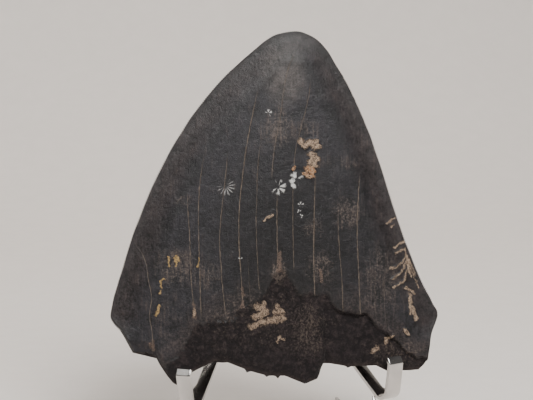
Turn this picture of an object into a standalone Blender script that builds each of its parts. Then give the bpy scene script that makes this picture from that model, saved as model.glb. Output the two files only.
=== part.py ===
"""A fossil shark tooth with a broken root, resting on a low stand of bent metal bar.

Metres, +Z up. The tooth's outer face looks along -Y. Each side of the stand is an arm, which starts as a
flattened prong in front of the tooth, and a leg that carries it.
Tooth outlines below are in millimetres on the tooth's own plane: x across, h above its lowest point.
"""

import bmesh
import bpy
import numpy as np
from math import atan, cos, pi, radians, sin, tan
from mathutils import Vector, noise

MM = 0.001

# ---------- tooth: outline on its own plane, mm ----------
LEFT_EDGE = [(-48.4, 14.0), (-52.2, 20.8), (-55.0, 24.0), (-56.1, 27.0), (-54.4, 33.4), (-50.2, 46.7),
             (-45.9, 58.6), (-38.9, 74.1), (-29.3, 90.0), (-19.6, 102.2), (-10.2, 111.4)]
RIGHT_EDGE = [(49.0, 5.0), (51.2, 7.7), (52.2, 12.0), (53.2, 17.0), (56.0, 23.7), (53.8, 28.3),
              (48.7, 38.9), (42.7, 55.4), (37.7, 71.5), (32.9, 86.0), (27.0, 99.9), (21.0, 110.9)]
TIP_EDGE = [(-10.2, 111.4), (-5.5, 115.3), (-2.0, 118.1), (2.0, 120.1), (8.4, 121.0), (12.4, 119.9),
            (15.9, 117.8), (19.0, 114.3), (21.0, 110.9)]
BROKEN_BASE = [(-48.4, 14.0), (-44.4, 13.8), (-41.6, 12.6), (-40.3, 9.7), (-37.8, 5.8), (-35.9, 3.4),
               (-34.0, 2.2), (-32.2, 4.6), (-29.9, 6.5), (-25.2, 8.7), (-21.8, 10.3), (-17.2, 9.6),
               (-10.1, 6.6), (-3.8, 4.7), (2.0, 4.6), (5.6, 3.0), (8.8, 1.6), (13.3, 3.4), (14.9, 8.3),
               (17.4, 8.2), (23.9, 6.9), (33.8, 6.9), (37.9, 4.8), (43.2, 4.9), (46.4, 4.8), (49.0, 5.0)]
BACK_BASE = [(-48.4, 13.0), (-40.0, 10.6), (-17.0, 8.1), (6.0, 9.0), (28.0, 9.9), (42.0, 7.4), (49.0, 5.5)]
ENAMEL_FRONT = [(-56.0, -7.0), (-40.0, 6.4), (-36.7, 10.2), (-32.4, 13.5), (-30.7, 17.0), (-28.0, 22.4),
                (-23.5, 23.6), (-16.6, 23.5), (-9.8, 28.8), (-3.9, 32.4), (-0.5, 38.5), (1.5, 40.9),
                (3.9, 37.3), (6.3, 32.5), (10.8, 30.7), (16.6, 32.2), (18.4, 27.8), (23.5, 24.9),
                (30.4, 24.7), (33.8, 20.2), (39.3, 16.3), (43.4, 12.8), (47.8, 9.2), (56.0, 7.6)]
ENAMEL_BACK = [(-56.0, 26.0), (-46.0, 30.0), (-30.0, 37.0), (-12.0, 44.0), (0.0, 46.5), (12.0, 44.0),
               (30.0, 37.0), (46.0, 30.0), (56.0, 26.0)]
LEFT_SHOULDER_H = 27.0
RIGHT_SHOULDER_H = 23.7
TIP_H = 121.0
TIP_X = 8.4
CENTRE_DROP = 14.0
TIP_SHAPE_FROM = 0.45
BASE_SHAPE_TO = 0.30

# ---------- tooth: thickness, mm ----------
BACK_BULGE = [(0.0, 14.0), (9.0, 14.6), (13.0, 15.4), (18.0, 16.6), (24.0, 17.4), (31.0, 17.6), (50.0, 14.2),
              (70.0, 10.8), (90.0, 7.4), (105.0, 4.8), (115.0, 3.0), (121.0, 1.8)]
HALF_WIDTH = [(0.0, 46.5), (25.0, 50.2), (60.0, 40.0), (90.0, 28.8), (111.0, 14.0), (121.0, 3.7)]
BACK_ROUNDNESS = 1.8
HALF_RIM = 0.16
RIM_REACH = 6.0
EDGE_BAND_WIDTH = 11.0
EDGE_BAND_RISE = 2.3
CROWN_RISE = 1.9
CROWN_REACH = 42.0
ENAMEL_STEP = 0.9
ENAMEL_STEP_WIDTH = 1.6
BOURLETTE_WIDTH = 6.5
BOURLETTE_STEP = 0.6
BOURLETTE_STEP_WIDTH = 1.5
ROOT_BACK_STEP_WIDTH = 2.0
ROOT_LUMP = 0.7
ROOT_LUMP_SIZE = 6.0
BREAK_SINK = 0.8
BREAK_LUMP = 0.9
BREAK_LUMP_SIZE = 5.0
FRONT_LAYER = 3.7
BACK_LAYER = 9.1
BREAK_LAYER = 5.3
SERRATION_DEPTH = 0.3
BASE_ROUNDING = 1.4
BASE_ROUNDING_HEIGHT = 4.0
FORAMEN = (5.0, 27.0)
FORAMEN_RADIUS = 2.6
FORAMEN_DEPTH = 1.6

# ---------- tooth: mesh fineness ----------
COLUMNS = 34
ROWS = 42
ROW_SERRATION_CUTS = 6
TIP_SERRATION_CUTS = 2
BASE_CUTS = 3
CURVE_STEPS = 24
EDGE_SAMPLES = 160
NEARLY_NONE = 0.0001

# ---------- tooth: place on the stand ----------
LEAN_BACK = radians(6.0)
TOOTH_PLACE = (0.0, -29.6 * MM, 19.5 * MM)

# ---------- stand: arms ----------
BAR_THICKNESS = 1.4 * MM
ARM_WIDTH = {"left": 4.2 * MM, "right": 4.8 * MM}
PRONG_WIDTH = {"left": 5.1 * MM, "right": 6.2 * MM}
PRONG_HEIGHT = {"left": 14.7 * MM, "right": 14.4 * MM}
PRONG_LEAN = {"left": 0.31, "right": 0.15}
WIDENING = {"left": (6.8 * MM, 9.0 * MM), "right": (2.4 * MM, 4.0 * MM)}
TIP_LENGTH = 2.0 * MM
TIP_BEND = radians(40.0)
TIP_BEND_RADIUS = 1.3 * MM
TIP_ROUND = 1.5 * MM
V_BEND_RADIUS = 3.4 * MM
V_POINT = {"left": Vector((-27.35, -30.7, 13.5)) * MM, "right": Vector((34.65, -31.5, 15.5)) * MM}
JOINT_POINT = Vector((3.65, 24.3, 61.3)) * MM
EDGE_ROUND = 0.22 * MM
ROUNDED_FROM = radians(50.0)
GAP = 0.3 * MM
V_BEND_STEPS = 7
TIP_BEND_STEPS = 4
TIP_ROUND_STEPS = 5

# ---------- stand: legs ----------
LEG_BAR = 1.1 * MM
LEG_RUN = 3.6 * MM
LEG_LEAN = radians(27.5)
HEEL_RADIUS = 2.5 * MM
HEEL_STEPS = 6
LEG_REAR_Y = 36.7 * MM

# ---------- finishes ----------
ENAMEL_COLOUR = (0.035, 0.035, 0.038, 1.0)
METAL_COLOUR = (0.75, 0.76, 0.78, 1.0)


def clear_scene():
    for thing in list(bpy.data.objects):
        bpy.data.objects.remove(thing, do_unlink=True)


def finish(name, colour, roughness, metallic):
    material = bpy.data.materials.new(name)
    material.use_nodes = True
    shader = material.node_tree.nodes["Principled BSDF"]
    shader.inputs["Base Color"].default_value = colour
    shader.inputs["Roughness"].default_value = roughness
    shader.inputs["Metallic"].default_value = metallic
    return material


def add_object(name, mesh, material, collection):
    mesh.materials.append(material)
    thing = bpy.data.objects.new(name, mesh)
    collection.objects.link(thing)
    return thing


# ---------- tooth ----------

def along(points, fractions):
    """Points of a smooth curve through the given ones, at fractions of its length from 0 to 1."""
    knots = np.array(points, dtype=float)
    before = np.vstack([2 * knots[0] - knots[1], knots[:-1]])
    after = np.vstack([knots[1:], 2 * knots[-1] - knots[-2]])
    slopes = (after - before) / 2
    steps = np.linspace(0, 1, CURVE_STEPS, endpoint=False)[:, None]
    pieces = []
    for start, end, slope_in, slope_out in zip(knots[:-1], knots[1:], slopes[:-1], slopes[1:]):
        pieces.append(start * (2 * steps**3 - 3 * steps**2 + 1) + slope_in * (steps**3 - 2 * steps**2 + steps)
                      + end * (3 * steps**2 - 2 * steps**3) + slope_out * (steps**3 - steps**2))
    line = np.vstack(pieces + [knots[-1:]])
    lengths = np.concatenate([[0], np.cumsum(np.linalg.norm(np.diff(line, axis=0), axis=1))])
    wanted = np.asarray(fractions) * lengths[-1]
    return np.column_stack([np.interp(wanted, lengths, line[:, axis]) for axis in (0, 1)])


def height_at(points, x):
    """Height of a line of points, read straight from one point to the next."""
    knots = np.array(points, dtype=float)
    return np.interp(x, knots[:, 0], knots[:, 1])


def ease(value):
    """0 below 0, 1 above 1, and a smooth rise between."""
    clipped = np.clip(value, 0, 1)
    return clipped * clipped * (3 - 2 * clipped)


def outline(across, up, through):
    """The tooth plane's x and h for a place on the sheet: across, up and through from 0 to 1."""
    left = along(LEFT_EDGE, up)
    right = along(RIGHT_EDGE, up)
    tip = along(TIP_EDGE, across)
    side = across[:, None]
    flat = left * (1 - side) + right * side
    tip_flat = np.array(TIP_EDGE[0]) * (1 - side) + np.array(TIP_EDGE[-1]) * side
    base_flat = np.array(BROKEN_BASE[0]) * (1 - side) + np.array(BROKEN_BASE[-1]) * side
    front_h = height_at(BROKEN_BASE, base_flat[:, 0])
    back_h = height_at(BACK_BASE, base_flat[:, 0])
    base_h = front_h * (1 - through) + back_h * through
    near_tip = ease((up - TIP_SHAPE_FROM) / (1 - TIP_SHAPE_FROM))[:, None]
    near_base = 1 - ease(up / BASE_SHAPE_TO)
    place = flat + near_tip * (tip - tip_flat)
    place[:, 1] += near_base * (base_h - base_flat[:, 1])
    return place


def edge_distance(place):
    """Distance of each point from the cutting edges, mm."""
    fractions = np.linspace(0, 1, EDGE_SAMPLES)
    left = along(LEFT_EDGE, fractions)
    right = along(RIGHT_EDGE, fractions)
    left = left[left[:, 1] >= LEFT_SHOULDER_H]
    right = right[right[:, 1] >= RIGHT_SHOULDER_H]
    edge = np.vstack([left, right, along(TIP_EDGE, fractions)])
    return np.array([np.sqrt(((edge - spot) ** 2).sum(axis=1).min()) for spot in place])


def lumps(place, size, layer):
    """Smooth unevenness between -1 and 1 with bumps of the given size, mm. Each layer has its own bumps."""
    return np.array([noise.noise(Vector((x / size, h / size, layer))) for x, h in place])


def depths(place):
    """How far the front and the back of the tooth stand from its plane, mm."""
    x = place[:, 0]
    h = place[:, 1]
    inside = edge_distance(place)
    front = HALF_RIM + EDGE_BAND_RISE * ease(inside / EDGE_BAND_WIDTH)
    front += CROWN_RISE * ease(inside / CROWN_REACH)
    below_enamel = ease((height_at(ENAMEL_FRONT, x) - h) / ENAMEL_STEP_WIDTH)
    inner = ease(inside / RIM_REACH)
    front -= below_enamel * inner * (ENAMEL_STEP - ROOT_LUMP * lumps(place, ROOT_LUMP_SIZE, FRONT_LAYER))
    above_front = h - height_at(BROKEN_BASE, x)
    front -= BASE_ROUNDING * (1 - ease(above_front / BASE_ROUNDING_HEIGHT)) * inner
    roundness = 1 - (1 - np.clip(inside / height_at(HALF_WIDTH, h), 0, 1)) ** BACK_ROUNDNESS
    back = HALF_RIM + height_at(BACK_BULGE, h) * roundness
    under_back = height_at(ENAMEL_BACK, x) - h
    back -= inner * BOURLETTE_STEP * ease(under_back / BOURLETTE_STEP_WIDTH)
    root_back = ease((under_back - BOURLETTE_WIDTH) / ROOT_BACK_STEP_WIDTH) * inner
    back += root_back * (BOURLETTE_STEP + ROOT_LUMP * lumps(place, ROOT_LUMP_SIZE, BACK_LAYER))
    above_back = h - height_at(BACK_BASE, x)
    back -= BASE_ROUNDING * (1 - ease(above_back / BASE_ROUNDING_HEIGHT)) * inner
    from_foramen = np.hypot(x - FORAMEN[0], h - FORAMEN[1])
    back -= FORAMEN_DEPTH * (1 - ease(from_foramen / FORAMEN_RADIUS))
    return front, back


def serrate(place, across, up):
    """Cutting-edge points pushed out one after the other, as fine rounded teeth."""
    row_steps = ROWS * (ROW_SERRATION_CUTS + 1)
    tip_steps = COLUMNS * (TIP_SERRATION_CUTS + 1)
    on_side = (across < NEARLY_NONE) | (across > 1 - NEARLY_NONE)
    on_tip = up > 1 - NEARLY_NONE
    crest = np.where(on_side, np.rint(up * row_steps) % 2, np.rint(across * tip_steps) % 2)
    above_shoulder = np.where(across < 0.5, place[:, 1] > LEFT_SHOULDER_H, place[:, 1] > RIGHT_SHOULDER_H)
    cutting = (on_side & above_shoulder) | on_tip
    centre = np.column_stack([TIP_X * place[:, 1] / TIP_H, place[:, 1] - CENTRE_DROP])
    outward = place - centre
    outward /= np.linalg.norm(outward, axis=1)[:, None]
    return place - outward * (SERRATION_DEPTH * (1 - crest) * cutting)[:, None]


def tooth_sheet():
    """A closed sheet with its places across, up and through the tooth as x, y and z from 0 to 1."""
    sheet = bmesh.new()
    bmesh.ops.create_grid(sheet, x_segments=COLUMNS, y_segments=ROWS, size=0.5)
    bmesh.ops.translate(sheet, verts=sheet.verts, vec=(0.5, 0.5, 0.0))
    grown = bmesh.ops.extrude_face_region(sheet, geom=sheet.faces[:])
    top = [item for item in grown["geom"] if isinstance(item, bmesh.types.BMVert)]
    bmesh.ops.translate(sheet, verts=top, vec=(0.0, 0.0, 1.0))

    def edges_where(test):
        return [edge for edge in sheet.edges if all(test(vert.co) for vert in edge.verts)]

    def runs(edge, axis):
        return abs(edge.verts[0].co[axis] - edge.verts[1].co[axis]) > NEARLY_NONE

    sides = [edge for edge in edges_where(lambda co: abs(co.x - 0.5) > 0.5 - NEARLY_NONE) if runs(edge, 1)]
    bmesh.ops.subdivide_edges(sheet, edges=sides, cuts=ROW_SERRATION_CUTS)
    tips = [edge for edge in edges_where(lambda co: co.y > 1 - NEARLY_NONE) if runs(edge, 0)]
    bmesh.ops.subdivide_edges(sheet, edges=tips, cuts=TIP_SERRATION_CUTS)
    base = [edge for edge in edges_where(lambda co: co.y < NEARLY_NONE) if runs(edge, 2)]
    bmesh.ops.subdivide_edges(sheet, edges=base, cuts=BASE_CUTS, use_grid_fill=True)
    return sheet


def build_tooth(material, collection):
    sheet = tooth_sheet()
    spots = np.array([vert.co[:] for vert in sheet.verts])
    across = np.clip(spots[:, 0], 0, 1)
    up = np.clip(spots[:, 1], 0, 1)
    through = np.clip(spots[:, 2], 0, 1)
    place = outline(across, up, through)
    front, back = depths(place)
    place = serrate(place, across, up)
    y = -front * (1 - through) + back * through
    inner_base = (up < NEARLY_NONE) & (through > NEARLY_NONE) & (through < 1 - NEARLY_NONE)
    hollow = BREAK_SINK + BREAK_LUMP * lumps(place, BREAK_LUMP_SIZE, BREAK_LAYER)
    place[:, 1] += np.where(inner_base, hollow, 0)
    for vert, (x, h), depth in zip(sheet.verts, place, y):
        vert.co = (x * MM, depth * MM, h * MM)
    bmesh.ops.triangulate(sheet, faces=sheet.faces)
    bmesh.ops.recalc_face_normals(sheet, faces=sheet.faces)
    for face in sheet.faces:
        face.smooth = True
    mesh = bpy.data.meshes.new("tooth")
    sheet.to_mesh(mesh)
    sheet.free()
    tooth = add_object("tooth", mesh, material, collection)
    tooth.rotation_euler = (-LEAN_BACK, 0, 0)
    tooth.location = TOOTH_PLACE
    return tooth


# ---------- stand ----------

def bend(corner, start_angle, end_angle, radius, steps):
    """Points of a round bend in a bar's own plane, from one angle to the other."""
    angles = np.linspace(start_angle, end_angle, steps + 1)
    return [(corner[0] + radius * cos(angle), corner[1] + radius * sin(angle)) for angle in angles]


def bar(name, path, width_at, thickness, material, collection, sign=1, round_tip=False, end_slant=0.0):
    """A bent bar of rectangular section along a path of run and height, with +Y as its run.

    One edge lies at x = 0, and the width, which may change along the run, goes to the side of the sign.
    The first end is rounded where asked. The last end is cut upright, and the bar gets longer across its
    width by the slant for each unit of width.
    """
    line = [Vector(place) for place in path]
    runs = [(after - before).normalized() for before, after in zip(line[:-1], line[1:])]
    solid = bmesh.new()
    bmesh.ops.create_grid(solid, x_segments=1, y_segments=1, size=thickness)
    first_face = end_face = solid.faces[:][0]
    corners = first_corners = list(end_face.verts)
    for place, before, after in zip(line, [runs[0]] + runs, runs + [runs[-1]]):
        if place is not line[0]:
            grown = bmesh.ops.extrude_face_region(solid, geom=[end_face])["geom"]
            if end_face is not first_face:
                bmesh.ops.delete(solid, geom=[end_face], context="FACES_ONLY")
            end_face = next(item for item in grown if isinstance(item, bmesh.types.BMFace))
            corners = [min(end_face.verts, key=lambda vert: (vert.co - old.co).length) for old in corners]
        across = Vector((-(before + after).y, (before + after).x)).normalized()
        half = across * thickness / 2 / across.dot(Vector((-after.y, after.x)))
        low, high = place - half, place + half
        width = sign * width_at(place.x)
        for corner, spot in zip(corners, ((0, *low), (width, *low), (width, *high), (0, *high))):
            corner.co = spot
    for corner in corners:
        beyond = line[-1].x + abs(corner.co.x) * end_slant - corner.co.y
        corner.co.z += beyond * runs[-1].y / runs[-1].x
        corner.co.y += beyond
    if round_tip:
        inner_low, outer_low, outer_high, inner_high = first_corners
        tip_edges = [solid.edges.get(ends) for ends in ((inner_low, inner_high), (outer_low, outer_high))]
        bmesh.ops.bevel(solid, geom=tip_edges, offset=TIP_ROUND, segments=TIP_ROUND_STEPS, profile=0.5,
                        affect="EDGES")
    bmesh.ops.recalc_face_normals(solid, faces=solid.faces)
    mesh = bpy.data.meshes.new(name)
    solid.to_mesh(mesh)
    solid.free()
    mesh.shade_smooth()
    mesh.set_sharp_from_angle(angle=ROUNDED_FROM)
    piece = add_object(name, mesh, material, collection)
    rounding = piece.modifiers.new("rounded edges", "BEVEL")
    rounding.width = EDGE_ROUND
    rounding.segments = 1
    rounding.limit_method = "ANGLE"
    rounding.angle_limit = ROUNDED_FROM
    rounding.harden_normals = True
    return piece


def arm_bearing(side, sign):
    """An arm's length to the joint in plan, its angle to the Y axis and its upward angle.

    The plan length is measured along the inner edge and stops half a gap short of the joint.
    """
    to_joint = JOINT_POINT - V_POINT[side]
    to_joint.x += sign * GAP / 2
    reach = to_joint.xy.length
    tilt = atan(to_joint.z / reach)
    tilt = atan((to_joint.z + V_BEND_RADIUS * (1 / cos(tilt) - 1)) / reach)
    return reach, atan(abs(to_joint.x) / to_joint.y), tilt


def arm_height(tilt, run):
    """Height of an arm's middle above the V bend's lowest point."""
    return run * tan(tilt) - V_BEND_RADIUS * (1 / cos(tilt) - 1)


def arm_path(side, reach, tilt):
    """From the tip down the prong, round the V bend and up the arm to the joint, as run and height."""
    lean = atan(PRONG_LEAN[side])
    v_bend = bend((0.0, V_BEND_RADIUS), pi + lean, 1.5 * pi + tilt, V_BEND_RADIUS, V_BEND_STEPS)
    upwards = Vector((-sin(lean), cos(lean)))
    rearwards = Vector((cos(lean), sin(lean)))
    tip_bend = [rearwards * TIP_BEND_RADIUS * (1 - cos(turn)) + upwards * TIP_BEND_RADIUS * sin(turn)
                for turn in np.linspace(0, TIP_BEND, TIP_BEND_STEPS + 1)]
    tip = tip_bend[-1] + (upwards * cos(TIP_BEND) + rearwards * sin(TIP_BEND)) * TIP_LENGTH
    prong_foot = Vector(v_bend[0])
    prong_rise = (PRONG_HEIGHT[side] - prong_foot.y - tip.y) / upwards.y
    prong_top = prong_foot + upwards * prong_rise
    prong = [tuple(prong_top + place) for place in [tip] + tip_bend[::-1]]
    return prong + v_bend + [(run, arm_height(tilt, run)) for run in (*WIDENING[side], reach)]


def leg_path(top):
    """From the top forward and down to the heel, and along the floor to the rear, as run and height."""
    floor = LEG_BAR / 2
    corner = -(top - floor) * tan(LEG_LEAN)
    centre = (corner + HEEL_RADIUS * tan(pi / 4 + LEG_LEAN / 2), floor + HEEL_RADIUS)
    heel = bend(centre, pi - LEG_LEAN, 1.5 * pi, HEEL_RADIUS, HEEL_STEPS)
    return [(0.0, top)] + heel


def build_side(side, sign, material, collection):
    """An arm and the leg under its inner edge, with a gap between the two."""
    reach, splay, tilt = arm_bearing(side, sign)

    def width_at(run):
        return np.interp(run, WIDENING[side], (PRONG_WIDTH[side], ARM_WIDTH[side]))

    arm = bar(side + "_arm", arm_path(side, reach, tilt), width_at, BAR_THICKNESS, material, collection, sign,
              round_tip=True, end_slant=1 / tan(splay))
    arm.location = V_POINT[side]
    arm.rotation_euler = (0, 0, sign * splay)

    half_arm = BAR_THICKNESS / 2 / cos(tilt)
    front_corner = LEG_BAR / 2 * ((cos(splay) + sin(splay)) * tan(tilt) + sin(LEG_LEAN))
    top = V_POINT[side].z + arm_height(tilt, LEG_RUN) - half_arm - front_corner - GAP
    top_x = V_POINT[side].x - sign * LEG_RUN * sin(splay)
    top_y = V_POINT[side].y + LEG_RUN * cos(splay) + LEG_BAR / 2 * sin(splay)
    path = leg_path(top)
    path.append((LEG_REAR_Y - top_y, path[-1][1]))
    leg = bar(side + "_leg", path, lambda run: LEG_BAR, LEG_BAR, material, collection, sign)
    leg.location = (top_x, top_y, 0)


def main():
    clear_scene()
    collection = bpy.data.collections.new("megalodon_tooth")
    bpy.context.scene.collection.children.link(collection)
    build_tooth(finish("fossil", ENAMEL_COLOUR, 0.45, 0.0), collection)
    metal = finish("polished_metal", METAL_COLOUR, 0.12, 1.0)
    build_side("left", -1, metal, collection)
    build_side("right", 1, metal, collection)


main()
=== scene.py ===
# %% [markdown]
# # A fossil shark tooth on its stand
#
# One large fossil tooth leans on a small stand of bent, polished metal bar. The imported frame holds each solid
# at its real size. This script models the tooth and the bars again with finer forms, and gives each of them a
# finish that is worked out from mathematics alone.

# %% Load the frame
from math import atan, cos, hypot, pi, radians, sin, tan

import bmesh
import bpy
import numpy as np
from mathutils import Matrix, Vector, noise


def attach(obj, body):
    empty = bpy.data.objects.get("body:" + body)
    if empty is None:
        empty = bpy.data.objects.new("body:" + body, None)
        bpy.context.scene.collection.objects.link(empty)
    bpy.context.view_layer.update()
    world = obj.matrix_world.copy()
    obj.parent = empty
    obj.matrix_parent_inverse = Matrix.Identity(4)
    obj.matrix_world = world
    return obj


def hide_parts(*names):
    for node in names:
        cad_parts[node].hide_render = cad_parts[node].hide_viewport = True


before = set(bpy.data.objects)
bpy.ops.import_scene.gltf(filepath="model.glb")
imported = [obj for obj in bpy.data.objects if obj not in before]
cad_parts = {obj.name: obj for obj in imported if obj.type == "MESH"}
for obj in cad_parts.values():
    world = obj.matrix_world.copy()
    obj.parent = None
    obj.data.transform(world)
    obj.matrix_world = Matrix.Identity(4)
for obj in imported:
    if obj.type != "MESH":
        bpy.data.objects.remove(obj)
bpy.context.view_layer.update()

MM = 0.001
print("frame nodes:", sorted(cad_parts))

# %% [markdown]
# ## The camera
#
# A camera a little to the left of the tooth and just above its middle gives the view of a collector at a
# shelf. A long lens from over half a metre keeps the tooth's outline true. The camera is placed by its
# direction and distance from a target, so that each of them can be tuned alone.

# %% Place the camera
VIEW_TARGET = Vector((-2.2, -18.9, 82.6)) * MM
VIEW_TURN = radians(-9.0)
VIEW_RISE = radians(6.0)
VIEW_DISTANCE = 0.6
LENS_MM = 119.0


def look_from(thing, place, target):
    """Put a thing at a place with its -Z side turned to the target."""
    thing.location = place
    thing.rotation_euler = (target - place).to_track_quat("-Z", "Y").to_euler()


lens = bpy.data.cameras.new("camera")
lens.lens = LENS_MM
lens.sensor_width = 36.0
lens.clip_start = 0.05
camera = bpy.data.objects.new("camera", lens)
bpy.context.scene.collection.objects.link(camera)
view_direction = Vector((sin(VIEW_TURN) * cos(VIEW_RISE), -cos(VIEW_TURN) * cos(VIEW_RISE), sin(VIEW_RISE)))
look_from(camera, VIEW_TARGET + view_direction * VIEW_DISTANCE, VIEW_TARGET)
bpy.context.scene.camera = camera
print("camera at", [round(value, 3) for value in camera.location])

# %% [markdown]
# ## Lights
#
# Dark, satin enamel shows its form by soft reflections and not by shadows, so the lights are large. A wide
# soft box in front and above gives the glow near the tip and lets the shadow fall behind. A weak second one
# fills from the left, and a third hangs high behind and lights the paper. The room glows a little at the
# height of the eye, so that the polished bars have something to mirror, and less overhead like a ceiling, so
# that their upper faces stay dark.

# %% Set the lights
LIGHT_COLOUR = (1.0, 0.985, 0.96)
REAR_LIGHT_COLOUR = (1.0, 0.95, 0.895)
ROOM_COLOUR = (0.80, 0.775, 0.755, 1.0)
ROOM_GLOW = 0.15
CEILING_GLOW = 0.03
CEILING_START = radians(35)
CEILING_END = radians(62)
TOOTH_MIDDLE = (0.0, -0.03, 0.08)
BEHIND_TOOTH = (0.0, 0.35, 0.0)


def soft_box(name, place, size, watts, target, colour=LIGHT_COLOUR):
    """A square light of the given size in metres, turned to its target."""
    light = bpy.data.lights.new(name, "AREA")
    light.shape = "SQUARE"
    light.size = size
    light.energy = watts
    light.color = colour
    box = bpy.data.objects.new(name, light)
    bpy.context.scene.collection.objects.link(box)
    look_from(box, Vector(place), Vector(target))


soft_box("front_top_light", (0.14, -0.78, 0.72), 0.45, 14.0, TOOTH_MIDDLE)
soft_box("left_light", (-0.8, -0.5, 0.55), 0.6, 1.0, TOOTH_MIDDLE)
soft_box("rear_top_light", (0.0, 0.9, 1.2), 0.9, 23.0, BEHIND_TOOTH, REAR_LIGHT_COLOUR)

world = bpy.data.worlds.new("studio")
bpy.context.scene.world = world
world.use_nodes = True
sky = world.node_tree
direction = sky.nodes.new("ShaderNodeTexCoord")
upward = sky.nodes.new("ShaderNodeSeparateXYZ")
ceiling = sky.nodes.new("ShaderNodeMapRange")
for socket, value in (("From Min", sin(CEILING_START)), ("From Max", sin(CEILING_END)),
                      ("To Min", ROOM_GLOW), ("To Max", CEILING_GLOW)):
    ceiling.inputs[socket].default_value = value
sky.links.new(direction.outputs["Generated"], upward.inputs[0])
sky.links.new(upward.outputs["Z"], ceiling.inputs["Value"])
sky.links.new(ceiling.outputs[0], sky.nodes["Background"].inputs["Strength"])
sky.nodes["Background"].inputs["Color"].default_value = ROOM_COLOUR

# %% [markdown]
# ## Shader helpers
#
# Finishes here are formulas. As plain node links they would be hard to read, so a small class wraps a node's
# output, and the signs + - * / add Math nodes by themselves.

# %% A value that does sums
class Value:
    """One output of a node, which adds Math nodes when it is used in a sum."""

    def __init__(self, kit, socket):
        self.kit = kit
        self.socket = socket

    def __add__(self, other):
        return self.kit.maths("ADD", self, other)

    def __radd__(self, other):
        return self.kit.maths("ADD", other, self)

    def __sub__(self, other):
        return self.kit.maths("SUBTRACT", self, other)

    def __rsub__(self, other):
        return self.kit.maths("SUBTRACT", other, self)

    def __mul__(self, other):
        return self.kit.maths("MULTIPLY", self, other)

    def __truediv__(self, other):
        return self.kit.maths("DIVIDE", self, other)

    def __neg__(self):
        return self.kit.maths("MULTIPLY", self, -1.0)


# %% A kit of nodes for one material
class Kit:
    """Adds nodes to one material and links them."""

    def __init__(self, name):
        self.material = bpy.data.materials.new(name)
        self.material.use_nodes = True
        self.tree = self.material.node_tree
        self.shader = self.tree.nodes["Principled BSDF"]

    def set_input(self, socket, value):
        if isinstance(value, Value):
            self.tree.links.new(value.socket, socket)
        else:
            socket.default_value = value

    def node(self, kind, settings=None, inputs=None, output=0):
        """A node of the given kind, with its settings made first and then its sockets filled."""
        new = self.tree.nodes.new("ShaderNode" + kind)
        for name, value in (settings or {}).items():
            setattr(new, name, value)
        for name, value in (inputs or {}).items():
            self.set_input(new.inputs[name], value)
        return Value(self, new.outputs[output])

    def maths(self, operation, *values):
        return self.node("Math", {"operation": operation}, dict(enumerate(values)))

    def vector_maths(self, operation, first, second, output=0):
        return self.node("VectorMath", {"operation": operation}, {0: first, 1: second}, output)

    def scale(self, vector, factor):
        """A vector or a colour times a number."""
        return self.node("VectorMath", {"operation": "SCALE"}, {0: vector, "Scale": factor})

    def clamp(self, value):
        return self.node("Clamp", None, {"Value": value})

    def ease(self, value, low, high):
        """0 at low, 1 at high, and a smooth rise between."""
        return self.node("MapRange", {"interpolation_type": "SMOOTHSTEP"},
                         {"Value": value, "From Min": low, "From Max": high})

    def biggest(self, values):
        result = values[0]
        for value in values[1:]:
            result = self.maths("MAXIMUM", result, value)
        return result

    def mix(self, factor, first, second):
        """A colour between two colours."""
        new = self.tree.nodes.new("ShaderNodeMix")
        new.data_type = "RGBA"
        new.clamp_factor = True
        self.set_input(new.inputs[0], factor)
        self.set_input(new.inputs[6], first)
        self.set_input(new.inputs[7], second)
        return Value(self, new.outputs[2])

    def noise(self, vector, scale, detail=2.0, roughness=0.5, distortion=0.0):
        return self.node("TexNoise", {"noise_dimensions": "3D"},
                         {"Vector": vector, "Scale": scale, "Detail": detail, "Roughness": roughness,
                          "Distortion": distortion})

    def vector(self, x, y, z):
        return self.node("CombineXYZ", None, {"X": x, "Y": y, "Z": z})

    def curve(self, value, points):
        """A smooth curve from 0-1 to 0-1 through the given points."""
        new = self.tree.nodes.new("ShaderNodeFloatCurve")
        line = new.mapping.curves[0]
        line.points[0].location = points[0]
        line.points[1].location = points[-1]
        for point in points[1:-1]:
            line.points.new(*point)
        for point in line.points:
            point.handle_type = "AUTO"
        new.mapping.update()
        self.set_input(new.inputs["Value"], value)
        return Value(self, new.outputs[0])


print("shader helpers ready")

# %% [markdown]
# ## The tooth's outline
#
# A tooth like this is a broad blade. Its outline is drawn on the blade's own plane in millimetres, as a maker
# would draw a pattern: two cutting edges, the worn tip, and the line where the root broke off. A smooth curve
# runs through the few points of each edge. The broken base is read straight from point to point, because a
# break has corners.

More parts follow.
